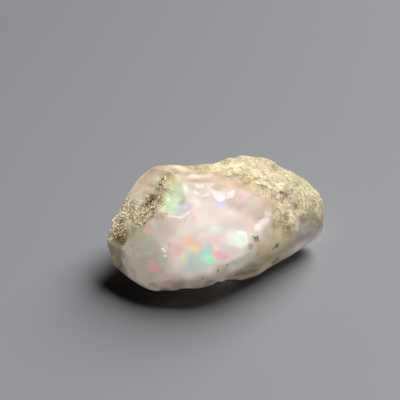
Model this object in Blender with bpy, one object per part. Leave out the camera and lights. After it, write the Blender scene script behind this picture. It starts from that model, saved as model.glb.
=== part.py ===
"""Rough opal specimen: one stone, chipped open on one side, with a skin of its host rock.

The stone is closed and in one piece. It is the rounded hull of a few hand-placed corners,
from which hollows and shell-shaped chips are taken. The host rock stands over it as a thin,
uneven skin. Run with: blender --background --python part.py
"""
import itertools
import math

import bmesh
import bpy
import numpy as np
from mathutils import Vector

# Driving dimensions. Lengths are in millimetres until the mesh is made
MM = 0.001
LENGTH = 35.0
SKIN_THICKNESS = 0.24
EDGE_ROUND = 0.5
REST_ROUND = 0.25
FACE_MERGE = math.radians(8.0)
SLOPE_STEP = 0.05

# Noise that bends the rims of scars: height, size and seed. The broad one also bends the
# hull's faces a little
BROAD_BEND, BROAD_SIZE, BROAD_SEED = 0.55, 4.2, 11
FINE_BEND, FINE_SIZE, FINE_SEED = 0.22, 1.7, 21
HULL_SHARE = 0.3

# Fineness of the surface, before and after flat stretches are thinned out
GRID_STEPS = 88
TRIANGLES = 9600

# The point inside the stone that every surface point is found from
HEART = np.array([0.0, 0.0, 8.5])
REACH = 24.0
GRID_STRETCH = np.array([1.7, 1.0, 0.85])

# Corners of the hull. X runs along the stone, Z is up from the surface it rests on
SKYLINE = [
    (-18.0, 3.35, 6.35), (-14.7, 7.4, 8.2), (-11.2, 10.4, 11.6), (-8.2, 11.0, 13.5), (-3.8, 9.7, 14.6),
    (7.2, 5.9, 16.5), (10.2, 4.5, 16.6), (16.3, 2.0, 12.3), (18.6, 0.1, 9.7), (18.95, -1.5, 3.7),
]
FRONT_FOOT = [
    (18.1, -0.55, 1.5), (9.5, -4.5, 1.4), (5.1, -7.6, 1.5), (-5.1, -8.4, 2.2), (-8.0, -8.05, 2.0),
    (-12.4, -7.0, 2.0), (-14.9, -4.6, 2.45), (-17.6, -0.4, 3.4),
]
WINDOW_RIM = [
    (-10.5, -6.9, 4.3), (-4.2, -8.6, 4.7), (0.6, -8.3, 6.4), (3.3, -7.8, 8.3), (6.4, -5.6, 11.1),
    (8.0, -2.5, 14.4), (4.7, -0.1, 15.8), (-0.8, 3.5, 16.4), (-4.3, 5.6, 15.5), (-8.4, 0.5, 11.8),
    (-13.7, 2.2, 9.0), (-15.3, 0.5, 7.1), (-15.6, -1.8, 5.3), (-14.8, -4.3, 3.7),
]
WINDOW = [(-2.9, -5.0, 11.0), (-8.2, -4.1, 9.3), (2.1, -4.0, 13.2)]
SHOULDER = [
    (9.0, -5.5, 9.4), (12.6, -5.0, 7.1), (13.1, -2.9, 10.5), (11.8, -1.2, 13.0),
    (9.1, 1.2, 15.8), (4.7, 2.8, 16.7), (13.8, -0.1, 12.8),
]
LEFT_END = [(-11.1, 4.3, 11.1), (-16.1, 3.9, 7.9), (-7.1, 4.0, 13.7), (-16.6, 1.1, 5.4)]
BACK = [
    (-11.0, 10.8, 6.0), (-2.0, 11.4, 8.5), (6.5, 9.6, 10.5), (13.0, 6.5, 8.5),
    (-8.0, 9.6, 2.6), (3.0, 9.4, 2.8), (11.5, 6.4, 3.0),
]
REST = [
    (-10.0, -3.0, -0.6), (-4.0, -4.6, -0.6), (5.0, -4.4, -0.6), (11.5, -1.8, -0.6),
    (9.5, 3.2, -0.6), (1.0, 6.0, -0.6), (-7.0, 6.4, -0.6), (-11.5, 2.6, -0.6),
]
CORNERS = SKYLINE + FRONT_FOOT + WINDOW_RIM + WINDOW + SHOULDER + LEFT_END + BACK + REST

# Hollows and shell-shaped chips: a point on the stone, width, depth, softness of the rim
SCARS = {
    "saddle": ((-0.3, 7.9, 15.4), 9.8, 1.0, 1.0),
    "groove, top": ((-4.9, 7.5, 14.3), 3.6, 0.35, 0.3),
    "groove, upper": ((-6.6, 6.6, 13.5), 4.2, 0.6, 0.3),
    "groove, middle": ((-8.0, 5.5, 12.5), 4.8, 0.8, 0.3),
    "groove, deepest": ((-9.8, 4.6, 11.3), 5.4, 1.0, 0.25),
    "groove, lower": ((-12.0, 4.1, 9.8), 4.8, 0.6, 0.3),
    "groove, foot": ((-15.0, 3.4, 7.4), 4.8, 0.5, 0.3),
    "dark pit": ((-9.6, 4.9, 11.2), 2.0, 0.7, 0.2),
    "green scallop": ((-6.1, 2.3, 12.7), 6.8, 0.85, 0.1),
    "pink scallop": ((-2.9, 2.0, 14.1), 6.0, 0.4, 0.22),
    "glossy crescent": ((-2.0, 1.7, 14.4), 2.8, 0.16, 0.08),
    "bright streak": ((6.0, -5.0, 11.0), 3.2, 0.2, 0.1),
    "crown's step": ((11.9, 3.0, 15.1), 2.6, 0.35, 0.25),
    "dent, upper": ((11.6, -1.0, 12.7), 2.4, 0.16, 0.2),
    "dent, lower": ((13.2, -2.2, 10.9), 2.2, 0.14, 0.2),
    "olive face": ((-16.2, -0.4, 4.6), 6.5, 0.25, 0.1),
    "left edge, upper": ((-15.1, 0.7, 6.6), 1.6, 0.12, 0.06),
    "left edge, middle": ((-15.5, -1.0, 5.4), 1.7, 0.14, 0.06),
    "left edge, lower": ((-14.7, -3.5, 3.7), 2.6, 0.25, 0.15),
    "front bevel": ((-7.5, -7.4, 3.0), 7.0, 0.12, 0.2),
    "notch": ((0.2, -7.0, 1.8), 4.0, 0.95, 0.4),
    "under the bevel": ((2.8, -7.3, 3.2), 8.0, 0.3, 0.5),
    "waxy side": ((10.6, -5.3, 5.6), 9.0, 0.45, 0.8),
    "right end": ((15.2, -3.0, 7.2), 4.6, 0.35, 0.4),
    "right foot": ((12.2, -4.7, 2.9), 5.6, 0.4, 0.5),
    "right lip": ((15.6, -3.4, 4.2), 2.8, 0.2, 0.2),
    "face chip, upper": ((-9.4, -4.7, 8.1), 1.1, 0.14, 0.03),
    "face chip, lower": ((-9.2, -5.5, 7.4), 0.9, 0.12, 0.03),
    "foot chip, left": ((-14.7, -4.3, 3.0), 1.8, 0.2, 0.05),
    "foot chip, second": ((-12.4, -6.5, 2.5), 2.2, 0.18, 0.05),
    "foot chip, third": ((-10.0, -7.0, 2.2), 1.6, 0.2, 0.05),
    "foot chip, fourth": ((-6.8, -7.6, 2.0), 2.4, 0.22, 0.05),
    "foot chip, right": ((-2.1, -8.1, 2.3), 3.4, 0.75, 0.2),
    "behind the right end": ((15.5, 3.5, 7.5), 6.5, 0.6, 0.4),
    "back, left": ((-8.5, 11.0, 7.5), 8.0, 0.8, 0.4),
    "back, middle": ((-1.0, 11.2, 7.0), 6.5, 0.5, 0.3),
    "back, right": ((7.0, 9.5, 6.5), 9.0, 0.9, 0.5),
    "back, low": ((1.0, 10.0, 3.0), 6.0, 0.5, 0.3),
}

# Where the host rock still clings: a point on the stone and how far it spreads
SKIN_PATCHES = {
    "crown, left": ((2.8, 7.4, 15.0), 3.2),
    "crown, middle": ((7.2, 3.6, 16.2), 4.4),
    "crown, right": ((11.8, 2.6, 14.6), 4.6),
    "crown's left end": ((-0.4, 8.4, 14.3), 1.2),
    "crown's tail": ((-2.9, 9.4, 14.0), 0.7),
    "right shoulder": ((15.6, 0.6, 11.4), 3.9),
    "right tip": ((17.2, -0.8, 8.8), 2.4),
    "ridge, upper": ((7.6, -0.9, 15.0), 1.7),
    "below the dent": ((10.5, -3.5, 11.0), 2.4),
    "below the dent, low": ((11.5, -4.0, 9.7), 1.9),
    "right flank, upper": ((13.2, -2.4, 10.8), 2.0),
    "right flank, lower": ((14.8, -2.7, 8.9), 1.5),
    "crown's front": ((9.3, -1.2, 14.0), 1.5),
    "left of the dent": ((10.9, -1.8, 12.6), 1.7),
    "above the dent": ((12.4, -0.6, 12.6), 1.4),
    "grit at the foot": ((9.0, -5.6, 3.0), 0.5),
    "sandy hollow": ((-9.9, 3.9, 10.8), 2.1),
    "hollow's near side": ((-9.6, 2.9, 11.0), 2.1),
    "hollow's scallop side": ((-8.2, 4.0, 12.1), 1.2),
    "hollow's scallop side, low": ((-8.5, 2.6, 11.6), 1.3),
    "hollow's foot": ((-12.0, 3.0, 9.9), 1.7),
    "hollow's far end": ((-13.6, 4.7, 9.2), 2.0),
    "hollow's upper end": ((-7.6, 6.0, 13.1), 1.0),
    "hollow's trail": ((-6.9, 6.8, 13.5), 0.9),
    "hollow's pale edge": ((-12.7, 6.4, 10.2), 1.5),
    "hollow's pale edge, low": ((-13.5, 6.1, 9.5), 1.3),
    "left patch": ((-15.3, 3.6, 7.7), 2.2),
    "left patch, low": ((-15.6, 2.0, 7.0), 1.4),
    "back": ((2.0, 10.5, 8.5), 7.0),
    "back, right": ((9.5, 7.5, 8.0), 6.0),
    "back, left": ((-8.0, 10.6, 7.5), 3.6),
}
SKIN_EDGE = 1.2

# Relief: height, size of its bumps and seed. The wander moves the skin's edge to and fro
SKIN_WANDER, SKIN_WANDER_SIZE, SKIN_WANDER_SEED = 0.9, 1.7, 3
OPAL_SWELL, OPAL_SWELL_SIZE, OPAL_SWELL_SEED = 0.06, 4.5, 1
SKIN_LUMPS, SKIN_LUMPS_SIZE, SKIN_LUMPS_SEED = 0.2, 1.9, 2
REST_CALM = 0.8

# Numbers that scramble the corners of the noise's cells, and set seeds and layers apart
NOISE_TANGLE = np.array([127.1, 311.7, 74.7])
NOISE_SPREAD = 43758.5453
NOISE_SHIFT = 7.31
LAYER_SHIFT = 5

# How many of the hull's nearest faces are blended at an edge or a corner
BLENDED_FACES = 5

# Colours and roughness of the two surfaces
OPAL_COLOUR, OPAL_ROUGHNESS = (0.56, 0.50, 0.47), 0.22
SKIN_COLOUR, SKIN_ROUGHNESS = (0.60, 0.52, 0.34), 0.85


def smooth_max(a, b, width):
    """The larger of two fields, with the crease between them rounded over a width."""
    near = np.maximum(width - np.abs(a - b), 0.0) / width
    return np.maximum(a, b) + near * near * width * 0.25


def smooth_step(value, low, high):
    t = np.clip((value - low) / (high - low), 0.0, 1.0)
    return t * t * (3.0 - 2.0 * t)


def sample_noise(points, size, seed):
    """Soft noise in -1..1 at each point, with bumps of about a given size."""
    cells = points / size + seed * NOISE_SHIFT
    corner = np.floor(cells)
    blend = smooth_step(cells - corner, 0.0, 1.0)
    total = np.zeros(points.shape[:-1])
    for step in itertools.product((0.0, 1.0), repeat=3):
        weight = np.prod(np.where(step, blend, 1.0 - blend), axis=-1)
        tangle = np.sin((corner + step) @ NOISE_TANGLE) * NOISE_SPREAD
        total += weight * (tangle - np.floor(tangle))
    return total * 2.0 - 1.0


def layered_noise(points, size, seed, layers=3):
    """Noise with finer, fainter layers added."""
    total = np.zeros(points.shape[:-1])
    for layer in range(layers):
        finer = 2.0 ** layer
        total += sample_noise(points, size / finer, seed + layer * LAYER_SHIFT) / finer
    return total


def hull_faces():
    """The flat faces of the corners' hull, as outward normals and distances from the heart."""
    bm = bmesh.new()
    for corner in CORNERS:
        bm.verts.new(corner)
    bmesh.ops.convex_hull(bm, input=bm.verts)
    loose = [v for v in bm.verts if not v.link_faces]
    bmesh.ops.delete(bm, geom=loose, context="VERTS")
    bmesh.ops.dissolve_limit(bm, angle_limit=FACE_MERGE, verts=bm.verts, edges=bm.edges)
    heart = Vector(HEART)
    normals = []
    offsets = []
    for face in bm.faces:
        face.normal_update()
        normal = face.normal.normalized()
        offset = normal.dot(face.calc_center_median() - heart)
        side = 1.0 if offset > 0.0 else -1.0
        normals.append((normal * side)[:])
        offsets.append(offset * side)
    bm.free()
    return np.array(normals), np.array(offsets)


def bend(points, height, size, seed):
    """A soft shift of each point, so that round rims and flat faces come out uneven."""
    shift = [sample_noise(points, size, seed + axis) * height for axis in range(3)]
    return np.stack(shift, axis=-1)


def body_field(points, faces, shift=0.0):
    """How far points lie outside the rounded hull, in millimetres; negative inside."""
    normals, offsets = faces
    flat = np.sort((points + shift - HEART) @ normals.T - offsets, axis=-1)
    field = flat[..., -1]
    for rank in range(2, BLENDED_FACES + 1):
        field = smooth_max(field, flat[..., -rank], EDGE_ROUND)
    return smooth_max(field, -points[..., 2], REST_ROUND)


def solve_surface(directions, field, rounds=22):
    """The surface point along each direction from the heart, found by halving."""
    near = np.zeros(len(directions))
    far = np.full(len(directions), REACH)
    for _ in range(rounds):
        middle = (near + far) / 2.0
        inside = field(HEART + directions * middle[:, None]) < 0.0
        near = np.where(inside, middle, near)
        far = np.where(inside, far, middle)
    return HEART + directions * near[:, None]


def unit(vectors):
    return vectors / np.linalg.norm(vectors, axis=-1, keepdims=True)


def bites(faces):
    """The spheres that cut the scars: their centres and radii."""
    places = np.array([place for place, width, depth, softness in SCARS.values()])
    widths = np.array([width for place, width, depth, softness in SCARS.values()])
    depths = np.array([depth for place, width, depth, softness in SCARS.values()])
    on_body = solve_surface(unit(places - HEART), lambda p: body_field(p, faces))
    slopes = [
        body_field(on_body + step, faces) - body_field(on_body - step, faces)
        for step in np.eye(3) * SLOPE_STEP
    ]
    outward = unit(np.stack(slopes, axis=-1))
    radii = widths ** 2 / (8.0 * depths) + depths / 2.0
    centres = on_body + outward * (radii - depths)[:, None]
    return centres, radii


def stone_field():
    """A function for how far points lie outside the stone, its scars cut."""
    faces = hull_faces()
    centres, radii = bites(faces)
    creases = [softness for place, width, depth, softness in SCARS.values()]

    def field(points):
        broad = bend(points, BROAD_BEND, BROAD_SIZE, BROAD_SEED)
        fine = bend(points, FINE_BEND, FINE_SIZE, FINE_SEED)
        value = body_field(points, faces, broad * HULL_SHARE)
        bent = points + broad + fine
        for centre, radius, crease in zip(centres, radii, creases):
            bite = radius - np.linalg.norm(bent - centre, axis=-1)
            value = smooth_max(value, bite, crease)
        return value

    return field


def skin_cover(points):
    """How fully the host rock covers each point, 0 to 1, with a wandering edge."""
    reach = np.full(len(points), -REACH)
    for place, radius in SKIN_PATCHES.values():
        reach = np.maximum(reach, radius - np.linalg.norm(points - np.array(place), axis=-1))
    near = np.abs(reach) < SKIN_WANDER * 2.0
    wander = np.zeros(len(points))
    wander[near] = layered_noise(points[near], SKIN_WANDER_SIZE, SKIN_WANDER_SEED, 2) * SKIN_WANDER
    return smooth_step(reach + wander, 0.0, SKIN_EDGE)


def cube_directions(steps):
    """Unit directions on a cube-shaped grid, and the grid's four-sided faces."""
    index = {}
    rows = []
    quads = []

    def vertex(key):
        if key not in index:
            index[key] = len(rows)
            rows.append([math.tan((k / steps - 0.5) * math.pi / 2.0) for k in key])
        return index[key]

    for axis in range(3):
        for side in (0, steps):
            for i in range(steps):
                for j in range(steps):
                    ring = []
                    for di, dj in ((0, 0), (1, 0), (1, 1), (0, 1)):
                        key = [0, 0, 0]
                        key[axis] = side
                        key[(axis + 1) % 3] = i + di
                        key[(axis + 2) % 3] = j + dj
                        ring.append(vertex(tuple(key)))
                    quads.append(ring if side else ring[::-1])
    return unit(unit(np.array(rows)) * GRID_STRETCH), quads


def stone_surface(steps):
    """The stone's points in millimetres, how the host rock covers them, and its faces."""
    directions, quads = cube_directions(steps)
    points = solve_surface(directions, stone_field())
    cover = skin_cover(points)
    swell = layered_noise(points, OPAL_SWELL_SIZE, OPAL_SWELL_SEED) * OPAL_SWELL
    lumps = layered_noise(points, SKIN_LUMPS_SIZE, SKIN_LUMPS_SEED) * SKIN_LUMPS
    calm = smooth_step(points[:, 2], 0.0, REST_CALM)
    rise = (swell + cover * (SKIN_THICKNESS + lumps)) * calm
    points = points + directions * rise[:, None]
    points[:, 2] = np.maximum(points[:, 2], 0.0)
    return points, cover, quads


def to_size(points):
    """The points scaled to the stone's length, centred over the origin, resting at zero."""
    low = points.min(axis=0)
    high = points.max(axis=0)
    middle = (low + high) / 2.0
    middle[2] = low[2]
    return (points - middle) * (LENGTH / (high - low)[0])


def make_material(name, colour, roughness):
    material = bpy.data.materials.new(name)
    material.use_nodes = True
    shader = material.node_tree.nodes["Principled BSDF"]
    shader.inputs["Base Color"].default_value = (*colour, 1.0)
    shader.inputs["Roughness"].default_value = roughness
    shader.inputs["Metallic"].default_value = 0.0
    return material


def make_stone():
    points, cover, quads = stone_surface(GRID_STEPS)
    points = to_size(points)
    mesh = bpy.data.meshes.new("opal")
    mesh.from_pydata((points * MM).tolist(), [], quads)
    mesh.materials.append(make_material("milky opal", OPAL_COLOUR, OPAL_ROUGHNESS))
    mesh.materials.append(make_material("host rock skin", SKIN_COLOUR, SKIN_ROUGHNESS))
    for polygon, quad in zip(mesh.polygons, quads):
        polygon.material_index = int(cover[quad].mean() > 0.5)
    mesh.shade_smooth()
    stone = bpy.data.objects.new("opal", mesh)
    bpy.context.scene.collection.objects.link(stone)
    thin = stone.modifiers.new("thin out flat stretches", "DECIMATE")
    thin.ratio = TRIANGLES / (2.0 * len(quads))
    return stone


def build():
    for obj in list(bpy.data.objects):
        bpy.data.objects.remove(obj)
    make_stone()


build()
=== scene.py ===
"""Dresses the rough opal specimen: milky opal with its fire, host rock, sand grains and a plain studio.

The stone is made again from the same values as its solid, on a finer grid, and stands for it. Finer
chips and the rock skin's relief are added, and sand grains sit half sunk in the skin. Lengths are in
millimetres until a mesh is made.
"""
import itertools
import math

import bmesh
import bpy
import numpy as np
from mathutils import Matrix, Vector


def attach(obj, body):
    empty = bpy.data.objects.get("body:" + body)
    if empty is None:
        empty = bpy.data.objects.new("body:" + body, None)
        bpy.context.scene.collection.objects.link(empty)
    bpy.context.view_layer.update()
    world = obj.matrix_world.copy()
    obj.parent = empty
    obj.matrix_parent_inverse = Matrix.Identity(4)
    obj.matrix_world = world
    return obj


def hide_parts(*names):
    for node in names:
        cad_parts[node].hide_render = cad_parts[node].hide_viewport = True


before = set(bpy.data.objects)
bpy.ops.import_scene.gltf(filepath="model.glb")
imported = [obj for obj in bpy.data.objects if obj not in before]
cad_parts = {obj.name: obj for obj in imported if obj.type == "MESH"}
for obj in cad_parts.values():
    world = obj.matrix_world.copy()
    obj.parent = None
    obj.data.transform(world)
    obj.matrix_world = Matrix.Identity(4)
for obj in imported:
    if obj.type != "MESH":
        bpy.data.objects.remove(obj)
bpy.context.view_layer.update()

MM = 0.001
LENGTH = 35.0
SKIN_THICKNESS = 0.24
EDGE_ROUND = 0.5
REST_ROUND = 0.25
FACE_MERGE = math.radians(8.0)
SLOPE_STEP = 0.05

# Noise that bends the rims of scars: height, size and seed. The broad one also bends the
# hull's faces a little
BROAD_BEND, BROAD_SIZE, BROAD_SEED = 0.55, 4.2, 11
FINE_BEND, FINE_SIZE, FINE_SEED = 0.22, 1.7, 21
HULL_SHARE = 0.3

# Fineness of the dressed stone's surface
GRID_STEPS = 128

# The point inside the stone that every surface point is found from
HEART = np.array([0.0, 0.0, 8.5])
REACH = 24.0
GRID_STRETCH = np.array([1.7, 1.0, 0.85])

# Corners of the hull. X runs along the stone, Z is up from the surface it rests on
SKYLINE = [
    (-18.0, 3.35, 6.35), (-14.7, 7.4, 8.2), (-11.2, 10.4, 11.6), (-8.2, 11.0, 13.5), (-3.8, 9.7, 14.6),
    (7.2, 5.9, 16.5), (10.2, 4.5, 16.6), (16.3, 2.0, 12.3), (18.6, 0.1, 9.7), (18.95, -1.5, 3.7),
]
FRONT_FOOT = [
    (18.1, -0.55, 1.5), (9.5, -4.5, 1.4), (5.1, -7.6, 1.5), (-5.1, -8.4, 2.2), (-8.0, -8.05, 2.0),
    (-12.4, -7.0, 2.0), (-14.9, -4.6, 2.45), (-17.6, -0.4, 3.4),
]
WINDOW_RIM = [
    (-10.5, -6.9, 4.3), (-4.2, -8.6, 4.7), (0.6, -8.3, 6.4), (3.3, -7.8, 8.3), (6.4, -5.6, 11.1),
    (8.0, -2.5, 14.4), (4.7, -0.1, 15.8), (-0.8, 3.5, 16.4), (-4.3, 5.6, 15.5), (-8.4, 0.5, 11.8),
    (-13.7, 2.2, 9.0), (-15.3, 0.5, 7.1), (-15.6, -1.8, 5.3), (-14.8, -4.3, 3.7),
]
WINDOW = [(-2.9, -5.0, 11.0), (-8.2, -4.1, 9.3), (2.1, -4.0, 13.2)]
SHOULDER = [
    (9.0, -5.5, 9.4), (12.6, -5.0, 7.1), (13.1, -2.9, 10.5), (11.8, -1.2, 13.0),
    (9.1, 1.2, 15.8), (4.7, 2.8, 16.7), (13.8, -0.1, 12.8),
]
LEFT_END = [(-11.1, 4.3, 11.1), (-16.1, 3.9, 7.9), (-7.1, 4.0, 13.7), (-16.6, 1.1, 5.4)]
BACK = [
    (-11.0, 10.8, 6.0), (-2.0, 11.4, 8.5), (6.5, 9.6, 10.5), (13.0, 6.5, 8.5),
    (-8.0, 9.6, 2.6), (3.0, 9.4, 2.8), (11.5, 6.4, 3.0),
]
REST = [
    (-10.0, -3.0, -0.6), (-4.0, -4.6, -0.6), (5.0, -4.4, -0.6), (11.5, -1.8, -0.6),
    (9.5, 3.2, -0.6), (1.0, 6.0, -0.6), (-7.0, 6.4, -0.6), (-11.5, 2.6, -0.6),
]
CORNERS = SKYLINE + FRONT_FOOT + WINDOW_RIM + WINDOW + SHOULDER + LEFT_END + BACK + REST

# Hollows and shell-shaped chips: a point on the stone, width, depth, softness of the rim
SCARS = {
    "saddle": ((-0.3, 7.9, 15.4), 9.8, 1.0, 1.0),
    "groove, top": ((-4.9, 7.5, 14.3), 3.6, 0.35, 0.3),
    "groove, upper": ((-6.6, 6.6, 13.5), 4.2, 0.6, 0.3),
    "groove, middle": ((-8.0, 5.5, 12.5), 4.8, 0.8, 0.3),
    "groove, deepest": ((-9.8, 4.6, 11.3), 5.4, 1.0, 0.25),
    "groove, lower": ((-12.0, 4.1, 9.8), 4.8, 0.6, 0.3),
    "groove, foot": ((-15.0, 3.4, 7.4), 4.8, 0.5, 0.3),
    "dark pit": ((-9.6, 4.9, 11.2), 2.0, 0.7, 0.2),
    "green scallop": ((-6.1, 2.3, 12.7), 6.8, 0.85, 0.1),
    "pink scallop": ((-2.9, 2.0, 14.1), 6.0, 0.4, 0.22),
    "glossy crescent": ((-2.0, 1.7, 14.4), 2.8, 0.16, 0.08),
    "bright streak": ((6.0, -5.0, 11.0), 3.2, 0.2, 0.1),
    "crown's step": ((11.9, 3.0, 15.1), 2.6, 0.35, 0.25),
    "dent, upper": ((11.6, -1.0, 12.7), 2.4, 0.16, 0.2),
    "dent, lower": ((13.2, -2.2, 10.9), 2.2, 0.14, 0.2),
    "olive face": ((-16.2, -0.4, 4.6), 6.5, 0.25, 0.1),
    "left edge, upper": ((-15.1, 0.7, 6.6), 1.6, 0.12, 0.06),
    "left edge, middle": ((-15.5, -1.0, 5.4), 1.7, 0.14, 0.06),
    "left edge, lower": ((-14.7, -3.5, 3.7), 2.6, 0.25, 0.15),
    "front bevel": ((-7.5, -7.4, 3.0), 7.0, 0.12, 0.2),
    "notch": ((0.2, -7.0, 1.8), 4.0, 0.95, 0.4),
    "under the bevel": ((2.8, -7.3, 3.2), 8.0, 0.3, 0.5),
    "waxy side": ((10.6, -5.3, 5.6), 9.0, 0.45, 0.8),
    "right end": ((15.2, -3.0, 7.2), 4.6, 0.35, 0.4),
    "right foot": ((12.2, -4.7, 2.9), 5.6, 0.4, 0.5),
    "right lip": ((15.6, -3.4, 4.2), 2.8, 0.2, 0.2),
    "face chip, upper": ((-9.4, -4.7, 8.1), 1.1, 0.14, 0.03),
    "face chip, lower": ((-9.2, -5.5, 7.4), 0.9, 0.12, 0.03),
    "foot chip, left": ((-14.7, -4.3, 3.0), 1.8, 0.2, 0.05),
    "foot chip, second": ((-12.4, -6.5, 2.5), 2.2, 0.18, 0.05),
    "foot chip, third": ((-10.0, -7.0, 2.2), 1.6, 0.2, 0.05),
    "foot chip, fourth": ((-6.8, -7.6, 2.0), 2.4, 0.22, 0.05),
    "foot chip, right": ((-2.1, -8.1, 2.3), 3.4, 0.75, 0.2),
    "behind the right end": ((15.5, 3.5, 7.5), 6.5, 0.6, 0.4),
    "back, left": ((-8.5, 11.0, 7.5), 8.0, 0.8, 0.4),
    "back, middle": ((-1.0, 11.2, 7.0), 6.5, 0.5, 0.3),
    "back, right": ((7.0, 9.5, 6.5), 9.0, 0.9, 0.5),
    "back, low": ((1.0, 10.0, 3.0), 6.0, 0.5, 0.3),
}

# Where the host rock still clings: a point on the stone and how far it spreads
SKIN_PATCHES = {
    "crown, left": ((2.8, 7.4, 15.0), 3.2),
    "crown, middle": ((7.2, 3.6, 16.2), 4.4),
    "crown, right": ((11.8, 2.6, 14.6), 4.6),
    "crown's left end": ((-0.4, 8.4, 14.3), 1.2),
    "crown's tail": ((-2.9, 9.4, 14.0), 0.7),
    "right shoulder": ((15.6, 0.6, 11.4), 3.9),
    "right tip": ((17.2, -0.8, 8.8), 2.4),
    "ridge, upper": ((7.6, -0.9, 15.0), 1.7),
    "below the dent": ((10.5, -3.5, 11.0), 2.4),
    "below the dent, low": ((11.5, -4.0, 9.7), 1.9),
    "right flank, upper": ((13.2, -2.4, 10.8), 2.0),
    "right flank, lower": ((14.8, -2.7, 8.9), 1.5),
    "crown's front": ((9.3, -1.2, 14.0), 1.5),
    "left of the dent": ((10.9, -1.8, 12.6), 1.7),
    "above the dent": ((12.4, -0.6, 12.6), 1.4),
    "grit at the foot": ((9.0, -5.6, 3.0), 0.5),
    "sandy hollow": ((-9.9, 3.9, 10.8), 2.1),
    "hollow's near side": ((-9.6, 2.9, 11.0), 2.1),
    "hollow's scallop side": ((-8.2, 4.0, 12.1), 1.2),
    "hollow's scallop side, low": ((-8.5, 2.6, 11.6), 1.3),
    "hollow's foot": ((-12.0, 3.0, 9.9), 1.7),
    "hollow's far end": ((-13.6, 4.7, 9.2), 2.0),
    "hollow's upper end": ((-7.6, 6.0, 13.1), 1.0),
    "hollow's trail": ((-6.9, 6.8, 13.5), 0.9),
    "hollow's pale edge": ((-12.7, 6.4, 10.2), 1.5),
    "hollow's pale edge, low": ((-13.5, 6.1, 9.5), 1.3),
    "left patch": ((-15.3, 3.6, 7.7), 2.2),
    "left patch, low": ((-15.6, 2.0, 7.0), 1.4),
    "back": ((2.0, 10.5, 8.5), 7.0),
    "back, right": ((9.5, 7.5, 8.0), 6.0),
    "back, left": ((-8.0, 10.6, 7.5), 3.6),
}
SKIN_EDGE = 1.2
DUST_REACH = 2.4

# Relief: height, size of its bumps and seed. The wander moves the skin's edge to and fro
SKIN_WANDER, SKIN_WANDER_SIZE, SKIN_WANDER_SEED = 0.9, 1.7, 3
OPAL_SWELL, OPAL_SWELL_SIZE, OPAL_SWELL_SEED = 0.06, 4.5, 1
SKIN_LUMPS, SKIN_LUMPS_SIZE, SKIN_LUMPS_SEED = 0.2, 1.9, 2
REST_CALM = 0.8

# Finer relief that only the dressed stone has
CRUST_RELIEF, CRUST_SIZE, CRUST_SEED = 0.08, 0.8, 31
RIPPLE_RELIEF, RIPPLE_SIZE, RIPPLE_SEED = 0.012, 1.4, 41

# Numbers that scramble the corners of the noise's cells, and set seeds and layers apart
NOISE_TANGLE = np.array([127.1, 311.7, 74.7])
NOISE_SPREAD = 43758.5453
NOISE_SHIFT = 7.31
LAYER_SHIFT = 5

# How many of the hull's nearest faces are blended at an edge or a corner
BLENDED_FACES = 5

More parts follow.
